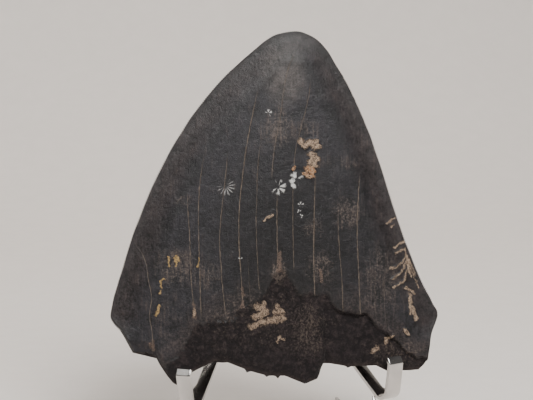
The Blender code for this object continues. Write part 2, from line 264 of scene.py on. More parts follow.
# %% Draw the outline
LEFT_EDGE = [(-48.4, 14.0), (-52.2, 20.8), (-55.0, 24.0), (-56.1, 27.0), (-54.4, 33.4), (-50.2, 46.7),
             (-45.9, 58.6), (-38.9, 74.1), (-29.3, 90.0), (-19.6, 102.2), (-10.2, 111.4)]
RIGHT_EDGE = [(49.0, 5.0), (51.2, 7.7), (52.2, 12.0), (53.2, 17.0), (56.0, 23.7), (53.8, 28.3),
              (48.7, 38.9), (42.7, 55.4), (37.7, 71.5), (32.9, 86.0), (27.0, 99.9), (21.0, 110.9)]
TIP_EDGE = [(-10.2, 111.4), (-5.5, 115.3), (-2.0, 118.1), (2.0, 120.1), (8.4, 121.0), (12.4, 119.9),
            (15.9, 117.8), (19.0, 114.3), (21.0, 110.9)]
BROKEN_BASE = [(-48.4, 14.0), (-44.4, 13.8), (-41.6, 12.6), (-40.3, 9.7), (-37.8, 5.8), (-35.9, 3.4),
               (-34.0, 2.2), (-32.2, 4.6), (-29.9, 6.5), (-25.2, 8.7), (-21.8, 10.3), (-17.2, 9.6),
               (-10.1, 6.6), (-3.8, 4.7), (2.0, 4.6), (5.6, 3.0), (8.8, 1.6), (13.3, 3.4), (14.9, 8.3),
               (17.4, 8.2), (23.9, 6.9), (33.8, 6.9), (37.9, 4.8), (43.2, 4.9), (46.4, 4.8), (49.0, 5.0)]
BACK_BASE = [(-48.4, 13.0), (-40.0, 10.6), (-17.0, 8.1), (6.0, 9.0), (28.0, 9.9), (42.0, 7.4), (49.0, 5.5)]
# Small lumps that hang from the broken base: x, half width and drop.
BASE_NUBS = [(-10.7, 0.8, 1.2), (-4.0, 0.6, 0.8), (-0.6, 0.8, 1.0), (24.0, 1.0, 0.5)]
LEFT_SHOULDER_H = 27.0
RIGHT_SHOULDER_H = 23.7


def smooth_line(points, steps_each=24):
    """Many points on a smooth curve through a few."""
    knots = np.array(points, dtype=float)
    before = np.vstack([2 * knots[0] - knots[1], knots[:-1]])
    after = np.vstack([knots[1:], 2 * knots[-1] - knots[-2]])
    slopes = (after - before) / 2
    step = np.linspace(0, 1, steps_each, endpoint=False)[:, None]
    pieces = [start * (2 * step**3 - 3 * step**2 + 1) + slope_in * (step**3 - 2 * step**2 + step)
              + end * (3 * step**2 - 2 * step**3) + slope_out * (step**3 - step**2)
              for start, end, slope_in, slope_out in zip(knots[:-1], knots[1:], slopes[:-1], slopes[1:])]
    return np.vstack(pieces + [knots[-1:]])


def along(line, fractions):
    """Points at fractions of a line's length, and the distance along it, in millimetres."""
    lengths = np.concatenate([[0], np.cumsum(np.linalg.norm(np.diff(line, axis=0), axis=1))])
    wanted = np.asarray(fractions) * lengths[-1]
    return np.column_stack([np.interp(wanted, lengths, line[:, axis]) for axis in (0, 1)]), wanted


def height_at(points, x):
    """Height of a line that runs straight from point to point."""
    knots = np.array(points, dtype=float)
    return np.interp(x, knots[:, 0], knots[:, 1])


def ease(value):
    """0 below 0, 1 above 1, and a smooth rise between."""
    clipped = np.clip(value, 0, 1)
    return clipped * clipped * (3 - 2 * clipped)


LEFT_LINE = smooth_line(LEFT_EDGE)
RIGHT_LINE = smooth_line(RIGHT_EDGE)
TIP_LINE = smooth_line(TIP_EDGE)
print("cutting edges, mm:", [round(float(along(line, [1.0])[1][0]), 1)
                             for line in (LEFT_LINE, TIP_LINE, RIGHT_LINE)])

# %% [markdown]
# ## How thick the tooth is
#
# The outer face of such a tooth is nearly flat, with a smooth band along each cutting edge. The inner face
# bulges, most of all just above the root. Where the enamel ends, in a ragged arch, the surface steps down to
# the rough root. Each of these is one term that is added to the distance of the surface from the plane, so
# each can be changed without touching the others.

# %% Measure thickness, steps and lumps
BACK_BULGE = [(0.0, 14.0), (9.0, 14.6), (13.0, 15.4), (18.0, 16.6), (24.0, 17.4), (31.0, 17.6), (50.0, 14.2),
              (70.0, 10.8), (90.0, 7.4), (105.0, 4.8), (115.0, 3.0), (121.0, 1.8)]
HALF_WIDTH = [(0.0, 46.5), (25.0, 50.2), (60.0, 40.0), (90.0, 28.8), (111.0, 14.0), (121.0, 3.7)]
ENAMEL_FRONT = [(-56.0, -7.0), (-40.0, 6.4), (-36.7, 10.2), (-32.4, 13.5), (-30.7, 17.0), (-28.0, 22.4),
                (-23.5, 23.6), (-16.6, 23.5), (-9.8, 28.8), (-3.9, 32.4), (-0.5, 38.5), (1.5, 40.9),
                (3.9, 37.3), (6.3, 32.5), (10.8, 30.7), (16.6, 32.2), (18.4, 27.8), (23.5, 24.9),
                (30.4, 24.7), (33.8, 20.2), (39.3, 16.3), (43.4, 12.8), (47.8, 9.2), (56.0, 7.6)]
ENAMEL_BACK = [(-56.0, 26.0), (-46.0, 30.0), (-30.0, 37.0), (-12.0, 44.0), (0.0, 46.5), (12.0, 44.0),
               (30.0, 37.0), (46.0, 30.0), (56.0, 26.0)]
HALF_RIM = 0.16
RIM_FADE = 6.0
WAVINESS = 0.10
BULGE_POWER = 1.8
EDGE_BAND_WIDTH = 11.0
EDGE_BAND_RISE = 2.3
CROWN_RISE = 1.9
CROWN_REACH = 42.0
ENAMEL_STEP = 0.45
BASE_ROUNDING = 1.4
BASE_ROUNDING_HEIGHT = 4.0
BOURLETTE_WIDTH = 6.5
BOURLETTE_STEP = 0.6
# Right of a crack in the root, its surface lies a step lower.
BLOCK_EDGE_X = 15.2
BLOCK_STEP = 1.4
BLOCK_BLUR = 0.6
BLOCK_BALANCE = 0.4
BLOCK_TOP_H = 30.0
BLOCK_FADE = 4.0
FORAMEN = (5.0, 27.0)
FORAMEN_RADIUS = 2.6
FORAMEN_DEPTH = 1.6
CRUST_HEIGHT = 0.28
# The rough root: height and size of its bumps, and the layer of the noise.
FRONT_ROUGHNESS = [(0.70, 6.0, 3.7), (0.50, 2.4, 8.3), (0.26, 1.1, 4.9)]
BACK_ROUGHNESS = [(0.70, 6.0, 9.1), (0.28, 2.2, 2.9), (0.14, 1.0, 7.7)]


def bumps(place, size, layer, octaves=1):
    """Unevenness between about -1 and 1, with bumps of the given size in millimetres."""
    total = np.zeros(len(place))
    for octave in range(octaves):
        scale = 2.0**octave / size
        heights = [noise.noise((x * scale, h * scale, layer + 7.3 * octave)) for x, h in place]
        total += np.array(heights) / 2**octave
    return total


def rough(place, layers):
    """Height of a rough surface, as a sum of bumps of several sizes."""
    return sum(height * bumps(place, size, layer) for height, size, layer in layers)


def base_rounding(place, base):
    """How far a face draws in where it nears the broken base."""
    above_base = place[:, 1] - height_at(base, place[:, 0])
    return BASE_ROUNDING * (1 - ease(above_base / BASE_ROUNDING_HEIGHT))


def edge_distance(place):
    """Distance of each point from the cutting edges, in millimetres."""
    left = LEFT_LINE[LEFT_LINE[:, 1] >= LEFT_SHOULDER_H]
    right = RIGHT_LINE[RIGHT_LINE[:, 1] >= RIGHT_SHOULDER_H]
    edges = [along(line, np.linspace(0, 1, 900))[0] for line in (left, TIP_LINE, right)]
    samples = np.vstack(edges)
    return np.array([np.sqrt(((samples - spot) ** 2).sum(axis=1).min()) for spot in place])


def front_depth(place, inside, root, crust):
    """Distance of the outer face from the tooth's plane."""
    inner = ease(inside / RIM_FADE)
    depth = HALF_RIM + EDGE_BAND_RISE * ease(inside / EDGE_BAND_WIDTH) + CROWN_RISE * ease(inside / CROWN_REACH)
    depth += WAVINESS * inner * bumps(place, 13.0, 1.1)
    depth -= root * inner * (ENAMEL_STEP - rough(place, FRONT_ROUGHNESS))
    block_side = ease((place[:, 0] - BLOCK_EDGE_X - 0.5 * bumps(place, 3.0, 6.1)) / BLOCK_BLUR)
    below_top = ease((BLOCK_TOP_H - place[:, 1]) / BLOCK_FADE)
    depth -= root * inner * BLOCK_STEP * (block_side - BLOCK_BALANCE) * below_top
    depth -= base_rounding(place, BROKEN_BASE) * inner
    return depth + CRUST_HEIGHT * crust * inner


def back_depth(place, inside):
    """Distance of the inner face from the tooth's plane."""
    x = place[:, 0]
    h = place[:, 1]
    inner = ease(inside / RIM_FADE)
    roundness = 1 - (1 - np.clip(inside / height_at(HALF_WIDTH, h), 0, 1)) ** BULGE_POWER
    depth = HALF_RIM + height_at(BACK_BULGE, h) * roundness + WAVINESS * inner * bumps(place, 12.0, 2.2)
    under = height_at(ENAMEL_BACK, x) + 0.5 * bumps(place, 4.0, 5.7) - h
    depth -= inner * BOURLETTE_STEP * ease(under / 0.9)
    root = ease((under - BOURLETTE_WIDTH) / 1.2) * inner
    depth += root * (BOURLETTE_STEP + rough(place, BACK_ROUGHNESS))
    depth -= FORAMEN_DEPTH * (1 - ease(np.hypot(x - FORAMEN[0], h - FORAMEN[1]) / FORAMEN_RADIUS))
    return depth - base_rounding(place, BACK_BASE) * inner


print("thickest part of the blade, mm:", max(bulge for _, bulge in BACK_BULGE) + EDGE_BAND_RISE + CROWN_RISE)

# %% [markdown]
# ## What grew on the tooth
#
# Sea life left pale crusts on the tooth, as thin as paper. Each is laid down as short strokes, from one point
# to another with a width, the way a brush would. One list of strokes serves twice: here it raises the
# surface a little, and later the finish colours the same places.

# %% List the crusts
# Each stroke is start x, start h, end x, end h and half width, in millimetres.
BEIGE_STROKES = [
    (8.6, 83.4, 10.4, 81.8, 1.0), (11.2, 82.6, 13.6, 83.0, 1.3), (13.4, 81.0, 14.6, 81.8, 0.9),
    (12.2, 78.6, 13.6, 77.6, 1.4), (11.6, 76.4, 13.2, 75.6, 1.2),
    (-9.8, 21.4, -5.6, 23.0, 0.9), (-5.6, 23.0, 1.6, 24.0, 1.1), (-8.0, 24.6, -4.4, 26.2, 1.2),
    (-7.2, 28.4, -5.2, 27.4, 1.1), (-5.0, 29.2, -4.6, 27.4, 0.7), (-1.6, 26.2, 1.4, 26.0, 0.7),
    (-1.0, 28.2, 0.6, 26.4, 0.8), (-0.9, 16.2, 0.2, 18.0, 0.4), (0.2, 18.0, 1.6, 17.0, 0.4),
    (32.8, 12.0, 33.8, 12.9, 0.9), (-28.6, 26.0, -28.6, 28.0, 0.45), (36.9, 15.6, 37.5, 14.6, 0.6),
    (-4.6, 57.0, -1.6, 58.8, 0.35), (43.8, 19.0, 44.6, 17.2, 0.6), (37.2, 15.6, 39.4, 17.0, 0.5)]
FAN_STROKES = [
    (38.4, 55.4, 41.2, 56.8, 0.28), (40.2, 54.0, 41.2, 54.9, 0.22), (41.0, 46.9, 44.4, 48.6, 0.32),
    (41.0, 45.0, 44.8, 46.6, 0.34), (44.8, 46.6, 46.2, 40.6, 0.42), (39.0, 39.6, 43.6, 41.4, 0.32),
    (43.6, 41.4, 45.2, 44.6, 0.30), (39.6, 36.2, 43.4, 38.4, 0.34), (43.4, 38.4, 45.2, 42.2, 0.30),
    (40.2, 33.4, 44.0, 35.4, 0.36), (44.0, 35.4, 45.6, 40.2, 0.30), (45.2, 42.2, 46.6, 36.6, 0.30),
    (46.2, 40.6, 49.2, 33.4, 0.28), (45.4, 44.6, 48.4, 37.4, 0.22), (44.8, 33.2, 47.4, 31.4, 0.55),
    (45.8, 30.6, 46.6, 26.2, 0.60), (46.6, 26.2, 47.8, 22.4, 0.70), (45.6, 27.4, 45.8, 24.2, 0.40)]
GOLD_STROKES = [
    (-36.6, 42.2, -36.4, 45.4, 0.28), (-34.6, 42.4, -34.0, 45.6, 0.45), (-33.8, 45.6, -33.2, 44.0, 0.35),
    (-39.4, 37.4, -38.2, 38.0, 0.28), (-39.4, 37.4, -39.6, 35.2, 0.28), (-41.2, 26.2, -40.2, 29.2, 0.55),
    (-26.8, 42.0, -26.6, 44.6, 0.22), (-40.2, 33.4, -39.8, 34.0, 0.35)]
SILT_LUMPS = [(-12.3, 34.0, -12.1, 32.2, 0.6), (-12.0, 30.0, -12.2, 28.2, 0.7), (-28.7, 29.4, -28.5, 25.0, 0.6),
              (0.6, 45.6, 0.4, 40.6, 0.9), (-42.8, 17.6, -42.5, 14.4, 0.7), (14.6, 40.0, 14.9, 36.0, 0.5)]
ORANGE_STROKES = [(10.6, 74.6, 12.6, 73.4, 0.9), (10.2, 72.4, 12.4, 71.4, 0.9), (12.6, 73.4, 12.6, 71.6, 0.6),
                  (5.7, 73.9, 6.2, 74.9, 0.5)]


def stroke_cover(place, strokes):
    """1 on the strokes, 0 off them, with a soft rim."""
    cover = np.zeros(len(place))
    for start_x, start_h, end_x, end_h, half_width in strokes:
        start = np.array([start_x, start_h])
        run = np.array([end_x, end_h]) - start
        part = np.clip((place - start) @ run / (run @ run), 0, 1)
        distance = np.linalg.norm(place - start - part[:, None] * run, axis=1)
        cover = np.maximum(cover, ease(1.6 - 1.2 * distance / half_width))
    return cover


print("strokes of crust:", sum(map(len, (BEIGE_STROKES, FAN_STROKES, GOLD_STROKES, SILT_LUMPS, ORANGE_STROKES))))

# %% [markdown]
# ## Modelling the tooth
#
# The blade starts as a flat grid, a sheet whose two directions run across the tooth and up it. Extruding it
# gives a front and a back that share one rim, so the form is closed from the start. Extra cuts go where the
# real tooth needs them: along the cutting edges for the fine serrations, and through the broken base. Then
# each point is moved to its place, as a sculptor would push it, but by the measured terms above.

# %% Make the closed sheet
COLUMNS = 186
ROWS = 226
SERRATION_CUTS = 3
TIP_CUTS = 1
BASE_CUTS = 11
SAME = 1e-6
NEARLY = 0.0001


def select_edges(test):
    """Select the edges of the mesh in edit mode that pass a test, and nothing else."""
    bpy.ops.mesh.select_all(action="DESELECT")
    shape = bmesh.from_edit_mesh(bpy.context.edit_object.data)
    shape.select_mode = {"EDGE"}
    for edge in shape.edges:
        edge.select = test(*[vert.co for vert in edge.verts])
    shape.select_flush_mode()
    bmesh.update_edit_mesh(bpy.context.edit_object.data)


def edit_all():
    """Go into edit mode with everything selected."""
    bpy.ops.object.mode_set(mode="EDIT")
    bpy.ops.mesh.select_all(action="SELECT")


bpy.ops.object.select_all(action="DESELECT")
bpy.ops.mesh.primitive_grid_add(x_subdivisions=COLUMNS, y_subdivisions=ROWS, size=1.0, location=(0.5, 0.5, 0.0))
bpy.ops.object.transform_apply(location=True)
tooth = bpy.context.active_object
tooth.name = "tooth_fossil"
edit_all()
bpy.ops.mesh.select_mode(type="FACE")
bpy.ops.mesh.select_all(action="SELECT")
bpy.ops.mesh.extrude_region_move(TRANSFORM_OT_translate={"value": (0.0, 0.0, 1.0)})
bpy.ops.mesh.select_mode(type="EDGE")
select_edges(lambda a, b: abs(a.x - 0.5) > 0.5 - NEARLY and abs(a.x - b.x) < SAME < abs(a.y - b.y))
bpy.ops.mesh.subdivide(number_cuts=SERRATION_CUTS)
select_edges(lambda a, b: a.y > 1 - NEARLY and b.y > 1 - NEARLY and abs(a.x - b.x) > SAME)
bpy.ops.mesh.subdivide(number_cuts=TIP_CUTS)
select_edges(lambda a, b: a.y < NEARLY and b.y < NEARLY and abs(a.z - b.z) > SAME)
bpy.ops.mesh.subdivide(number_cuts=BASE_CUTS)
bpy.ops.object.mode_set(mode="OBJECT")
print("sheet:", len(tooth.data.vertices), "points")

# %% Plan where each point goes
TOOTH_PLACE = Vector((0.0, -29.6, 19.5)) * MM
LEAN_BACK = radians(6.0)
COLUMN_CROWDING = 0.45
ROW_CROWDING = 0.30
TIP_BLEND_START = 0.45
BASE_BLEND_END = 0.30
# The teeth of the cutting edges. They stand this share of their depth proud of the drawn edge, so that a
# notch never reaches the next column of points.
SERRATION_PITCH = 0.74
SERRATION_DEPTH = 0.50
SERRATION_PROUD = 0.62
SHOULDER_FADE = (1.5, 4.0)
TIP_FADE = 0.05


def place_on_plane(across, up, through):
    """The tooth plane's x and h for places on the sheet."""
    side = across[:, None]
    left, _ = along(LEFT_LINE, up)
    right, _ = along(RIGHT_LINE, up)
    tip, _ = along(TIP_LINE, across)
    place = left * (1 - side) + right * side
    tip_flat = TIP_LINE[0] * (1 - side) + TIP_LINE[-1] * side
    base_flat = np.array(BROKEN_BASE[0]) * (1 - side) + np.array(BROKEN_BASE[-1]) * side
    front_h = height_at(BROKEN_BASE, base_flat[:, 0])
    for nub_x, half_width, drop in BASE_NUBS:
        front_h -= drop * (1 - ease(np.abs(base_flat[:, 0] - nub_x) / half_width))
    back_h = height_at(BACK_BASE, base_flat[:, 0])
    base_h = front_h * (1 - through) + back_h * through
    place += ease((up - TIP_BLEND_START) / (1 - TIP_BLEND_START))[:, None] * (tip - tip_flat)
    place[:, 1] += (1 - ease(up / BASE_BLEND_END)) * (base_h - base_flat[:, 1])
    return place


def serration(across, up):
    """How far each point of the cutting edge is cut back, in millimetres."""
    _, left_run = along(LEFT_LINE, up)
    _, right_run = along(RIGHT_LINE, up)
    _, tip_run = along(TIP_LINE, across)
    on_tip = up > 1 - SAME
    run = np.where(on_tip, tip_run, np.where(across < 0.5, left_run, right_run))
    uneven = bumps(np.column_stack([run, across]), 5.0, 12.5)
    cut = 0.5 - 0.5 * np.cos(2 * pi * (run + 0.35 * uneven) / SERRATION_PITCH)
    return SERRATION_DEPTH * (0.85 + 0.4 * uneven) * cut


print("serrations about every", SERRATION_PITCH, "mm")

# %% Work out the two faces
spots = np.array([vert.co[:] for vert in tooth.data.vertices])
sheet_across = np.clip(spots[:, 0], 0, 1)
sheet_up = np.clip(spots[:, 1], 0, 1)
through = np.clip(spots[:, 2], 0, 1)
across = sheet_across - COLUMN_CROWDING * np.sin(2 * pi * sheet_across) / (2 * pi)
up = sheet_up * (1 - ROW_CROWDING + ROW_CROWDING * sheet_up)
place = place_on_plane(across, up, through)
inside = edge_distance(place)
ragged = 1.3 * bumps(place, 4.0, 15.5, octaves=3)
below_enamel = height_at(ENAMEL_FRONT, place[:, 0]) + ragged - place[:, 1]
root = ease(below_enamel / 0.8)
crust = stroke_cover(place, BEIGE_STROKES + FAN_STROKES + ORANGE_STROKES)
front = front_depth(place, inside, root, crust)
back = back_depth(place, inside)
depth = -front * (1 - through) + back * through
print("front and back, mm:", round(float(front.max()), 2), round(float(back.max()), 2))

# %% Cut the serrations and roughen the break
on_top = up > 1 - SAME
on_rim = (across < SAME) | (across > 1 - SAME) | on_top
shoulder_h = np.where(across < 0.5, LEFT_SHOULDER_H, RIGHT_SHOULDER_H)
cutting = on_rim & ((place[:, 1] > shoulder_h) | on_top)
centre_line = np.column_stack([np.interp(place[:, 1], [0, 121], [0, 8.4]), place[:, 1] - 14.0])
outward = (place - centre_line) / np.linalg.norm(place - centre_line, axis=1)[:, None]
above_shoulder = ease((place[:, 1] - shoulder_h - SHOULDER_FADE[0]) / SHOULDER_FADE[1])
full_depth = above_shoulder * ease((1 - up) / TIP_FADE)
notches = serration(across, up) * (0.5 + 0.5 * full_depth) - SERRATION_DEPTH * SERRATION_PROUD * full_depth
place = place - outward * (notches * cutting)[:, None]

inside_base = (up < SAME) & (through > SAME) & (through < 1 - SAME)
break_spots = np.column_stack([place[:, 0], depth])
break_relief = 0.8 + 0.9 * bumps(break_spots, 5.0, 5.3) + 0.5 * bumps(break_spots, 1.7, 9.9)
place[:, 1] += np.where(inside_base, break_relief, 0)
print("points on the cutting edges:", int(cutting.sum()), "and in the break:", int(inside_base.sum()))

# %% Move the points and keep three measures for the finish
to_world = Matrix.Translation(TOOTH_PLACE) @ Matrix.Rotation(-LEAN_BACK, 4, "X") @ Matrix.Scale(MM, 4)
for vert, (x, h), y in zip(tooth.data.vertices, place, depth):
    vert.co = to_world @ Vector((x, y, h))
for name, values in (("below enamel", below_enamel), ("inside", inside),
                     ("above base", place[:, 1] - height_at(BROKEN_BASE, place[:, 0]))):
    layer = tooth.data.attributes.new(name, "FLOAT", "POINT")
    layer.data.foreach_set("value", values.astype(np.float32))
print("tooth, mm:", [round(float(size) / MM, 1) for size in tooth.dimensions])

# %% Turn its faces outwards
edit_all()
bpy.ops.mesh.quads_convert_to_tris()
bpy.ops.mesh.normals_make_consistent(inside=False)
bpy.ops.object.mode_set(mode="OBJECT")
bpy.ops.object.shade_smooth()
print("tooth faces:", len(tooth.data.polygons))

# %% [markdown]
# ## The fossil's finish: where things are
#
# Every mark on the tooth is given by its place on the tooth's own plane. A Mapping node turns the object's
# coordinates back into that plane, in millimetres, so a crack or a crust is written with the same numbers
# that a ruler on the tooth would give.

# %% Find each point on the tooth's plane
kit = Kit("fossil")
object_place = kit.node("TexCoord", output=3)
plane_place = kit.node("Mapping", {"vector_type": "TEXTURE"},
                          {"Vector": object_place, "Location": TOOTH_PLACE, "Rotation": (-LEAN_BACK, 0, 0),
                           "Scale": (MM, MM, MM)})
x_mm = kit.node("SeparateXYZ", None, {"Vector": plane_place})
depth_mm, h_mm = [Value(kit, x_mm.socket.node.outputs[axis]) for axis in (1, 2)]
flat_place = kit.vector(x_mm, 0.0, h_mm)
on_front = kit.ease(-depth_mm, -0.25, 0.25)


from_edge, below_enamel_mm, above_base_mm = [
    kit.node("Attribute", {"attribute_name": name}, output=2)
    for name in ("inside", "below enamel", "above base")]
print("layers on the tooth:", [layer.name for layer in tooth.data.attributes if layer.data_type == "FLOAT"])

# %% Lay out the noises
# From fine to coarse: the first ones are grain and speckle, the last ones drift over the whole tooth.
fine_grain = kit.noise(plane_place, 3.2, 5.0, 0.62)
speckle = kit.noise(plane_place, 1.3, 6.0, 0.68)
lumps = kit.noise(plane_place, 0.45, 6.0, 0.74)
mottle = kit.noise(plane_place, 0.24, 6.0, 0.68)
clouds = kit.noise(plane_place, 0.11, 3.0, 0.55)
# Chinks part the root into plates, tracks wind over it, scuffs lie across and streaks run lengthwise.
shifted_place = kit.vector_maths("ADD", plane_place, kit.vector(mottle * 5.0, fine_grain * 0.8, lumps * 5.0))
plates = kit.node("TexVoronoi", {"feature": "DISTANCE_TO_EDGE"}, {"Vector": shifted_place, "Scale": 0.26})
chinks = kit.ease(plates, 0.075, 0.01) * kit.ease(clouds, 0.38, 0.56)
wriggle = kit.noise(plane_place, 0.33, 2.5, 0.55, 1.6)
tracks = kit.ease(kit.maths("ABSOLUTE", wriggle - 0.5), 0.020, 0.006) * kit.ease(mottle, 0.44, 0.58)
scuffs = kit.ease(kit.noise(kit.vector(x_mm * 0.30, depth_mm, h_mm * 2.2), 1.0, 4.0, 0.7), 0.60, 0.72)
streaks = kit.noise(kit.vector(x_mm * 1.6, depth_mm, h_mm * 0.10), 1.0, 4.0, 0.6)
print("nodes so far:", len(kit.tree.nodes))

# %% [markdown]
# ## Hairline cracks
#
# Fossil enamel splits lengthwise as it dries, and brown silt fills the cracks. Each crack runs from the root
# towards the tip and bends with the blade. A curve node gives its x for every height, so a few points make
# one crack. The crack's strength fades at both ends and breaks up a little, as real ones do.

# %% Draw the cracks
# Points of each crack from its low end to its high end, in millimetres, with its half width and strength.
CRACKS = [
    ([(-12.1, 29.9), (-12.6, 38.6), (-13.0, 47.0), (-13.0, 55.7), (-12.5, 63.4), (-11.3, 72.7), (-9.8, 82.1),
      (-7.6, 92.5), (-5.5, 101.2)], 0.26, 0.95),
    ([(-1.5, 72.0), (-0.3, 82.0), (1.9, 92.4), (3.0, 99.8), (4.5, 106.8), (7.4, 113.5)], 0.34, 0.55),
    ([(-26.2, 26.0), (-26.4, 40.6), (-26.5, 53.6), (-26.3, 63.6), (-25.5, 71.3), (-24.4, 78.3)], 0.24, 0.8),
    ([(-28.3, 25.9), (-28.9, 32.3), (-29.4, 41.0), (-29.5, 51.6), (-30.0, 62.3), (-30.0, 66.7)], 0.24, 0.75),
    ([(-18.0, 26.5), (-19.0, 36.4), (-19.3, 42.7), (-19.5, 51.4), (-18.2, 64.1), (-17.5, 68.8), (-16.3, 79.2)],
     0.24, 0.72),
    ([(-6.5, 34.1), (-7.0, 46.8), (-7.2, 55.6), (-6.8, 63.3), (-6.2, 75.0), (-5.1, 83.4)], 0.22, 0.6),
    ([(0.1, 42.7), (-0.1, 53.1), (0.2, 65.8)], 0.26, 0.8),
    ([(5.4, 41.0), (5.4, 57.0), (5.5, 64.1), (6.0, 72.8), (6.8, 80.6), (8.6, 87.3), (9.4, 90.0), (11.5, 97.7),
      (12.7, 105.1)], 0.22, 0.7),
    ([(12.5, 31.6), (12.3, 42.0), (12.5, 50.8), (13.0, 63.6), (13.5, 73.4)], 0.26, 0.85),
    ([(22.1, 26.0), (21.9, 37.8), (21.3, 46.2), (21.1, 58.0)], 0.22, 0.75),
    ([(28.2, 24.1), (28.0, 33.2), (27.8, 41.7), (27.6, 50.5), (28.2, 63.4), (29.0, 72.1)], 0.26, 0.8),
    ([(-42.5, 13.7), (-42.6, 20.0), (-43.3, 26.3), (-42.6, 31.3), (-43.5, 38.3), (-44.4, 44.3), (-47.2, 49.7)],
     0.22, 0.6),
    ([(-9.6, 30.0), (-9.9, 38.0), (-10.2, 47.0)], 0.14, 0.3),
    ([(33.6, 24.0), (33.4, 33.0), (33.9, 42.0)], 0.14, 0.3),
    ([(37.2, 20.0), (36.6, 32.0), (37.0, 41.0)], 0.14, 0.35)]
X_SPAN = 120.0
H_SPAN = 130.0
CRACK_WANDER = 0.5

wander = (kit.noise(plane_place, 0.55, 3.0, 0.6) - 0.5) * CRACK_WANDER
breaks = kit.noise(kit.vector(x_mm * 0.5, 0.0, h_mm), 0.42, 5.0, 0.8)
patchiness = kit.ease(breaks, 0.36, 0.60) * 0.75 + 0.25
opening = kit.noise(kit.vector(x_mm * 0.4, 0.0, h_mm), 0.9, 4.0, 0.7) * 2.4 - 0.3
silt_by_height = kit.ease(h_mm, 125.0, 30.0) * 0.35 + 0.65


def crack(points, half_width, strength):
    low_h = points[0][1]
    high_h = points[-1][1]
    unit_points = [(h / H_SPAN, x / X_SPAN + 0.5) for x, h in points]
    line_x = (kit.curve(h_mm / H_SPAN, unit_points) - 0.5) * X_SPAN
    away = kit.maths("ABSOLUTE", x_mm - line_x + wander) / opening
    core = kit.ease(away, half_width * 1.15, half_width * 0.3)
    ends = kit.ease(h_mm, low_h - 1.5, low_h + 1.5) * kit.ease(h_mm, high_h + 2.0, high_h - 6.0)
    return core * ends * strength


cracks = kit.biggest([crack(*entry) for entry in CRACKS]) * on_front * patchiness * silt_by_height
print("cracks:", len(CRACKS))

# %% [markdown]
# ## Crusts, scars and stains
#
# The strokes listed with the shape are coloured here: each stroke is the distance to a short line, on a plane
# that noise bends, and more noise makes its rim grainy. The round white scars are what barnacles leave, drawn
# as rays round a centre. Stains are soft ovals that let more of the speckle show.

# %% Colour the strokes
grain_shift = (kit.noise(plane_place, 0.85, 6.0, 0.8) - 0.5) * 4.4
holes = kit.ease(kit.noise(plane_place, 1.7, 4.0, 0.75), 0.38, 0.48)


def sway(place, scale):
    """A shift of up to about a millimetre and a half, either way."""
    return (kit.noise(place, scale, 4.0, 0.7) - 0.5) * 3.2


sway_x = sway(plane_place, 0.45)
bent_place = kit.vector_maths("ADD", flat_place, kit.vector(sway_x, 0.0, sway(flat_place, 0.5)))


def stroke(start_x, start_h, end_x, end_h, half_width):
    """Distance from a short line as a share of its half width."""
    run = Vector((end_x - start_x, 0.0, end_h - start_h))
    from_start = kit.vector_maths("SUBTRACT", bent_place, (start_x, 0.0, start_h))
    part = kit.clamp(kit.vector_maths("DOT_PRODUCT", from_start, run / run.length_squared, output=1))
    return kit.vector_maths("DISTANCE", from_start, kit.scale(run, part), output=1) / half_width


def crusts(strokes, ragged):
    """Cover of a list of strokes, from 0 to 1."""
    covers = [kit.ease(stroke(*entry) + grain_shift * ragged, 1.15, 0.8) for entry in strokes]
    return kit.biggest(covers) * holes * on_front


beige = crusts(BEIGE_STROKES, 1.0)
fan = crusts(FAN_STROKES, 0.45)
gold = crusts(GOLD_STROKES, 0.45)
orange = crusts(ORANGE_STROKES, 0.9)
silt_lumps = crusts(SILT_LUMPS, 0.8)
print("nodes so far:", len(kit.tree.nodes))

# %% Colour the scars
# Each scar is centre x, centre h, outer radius, number of rays, where it is boldest (turn) and how bold.
SCARS = [
    (-17.2, 68.8, 3.0, 14.0, -1.0, 0.48), (0.5, 68.2, 2.6, 7.0, -0.6, 0.84), (6.9, 70.6, 2.5, 4.0, 2.4, 0.95),
    (5.2, 67.9, 1.4, 2.0, 0.8, 1.2), (8.2, 62.0, 1.1, 5.0, 1.5, 0.7), (7.6, 59.8, 0.7, 4.0, 2.0, 0.85),
    (8.2, 58.3, 0.7, 4.0, 0.5, 0.8), (-2.2, 93.1, 1.2, 5.0, 1.2, 0.75), (-12.7, 44.2, 0.8, 3.0, 1.5, 0.6)]


def scar(centre_x, centre_h, radius, rays, bold_turn, boldness):
    across_x = x_mm - centre_x
    up_h = h_mm - centre_h
    reach = kit.maths("SQRT", across_x * across_x + up_h * up_h) / radius
    turn = kit.maths("ARCTAN2", up_h, across_x)
    ray = kit.maths("SINE", turn * rays + grain_shift * 1.7) * 0.5 + 0.5
    side = kit.maths("COSINE", turn - bold_turn) * 0.5 + 0.5
    ring = kit.ease(reach + grain_shift * 0.22, 1.15, 0.8) * kit.ease(reach, 0.12, 0.4)
    return kit.ease(ray + side * 1.1 * boldness + grain_shift * 0.35, 1.0, 1.5) * ring * boldness


scars = kit.clamp(kit.biggest([scar(*entry) for entry in SCARS])) * on_front
print("scars:", len(SCARS))

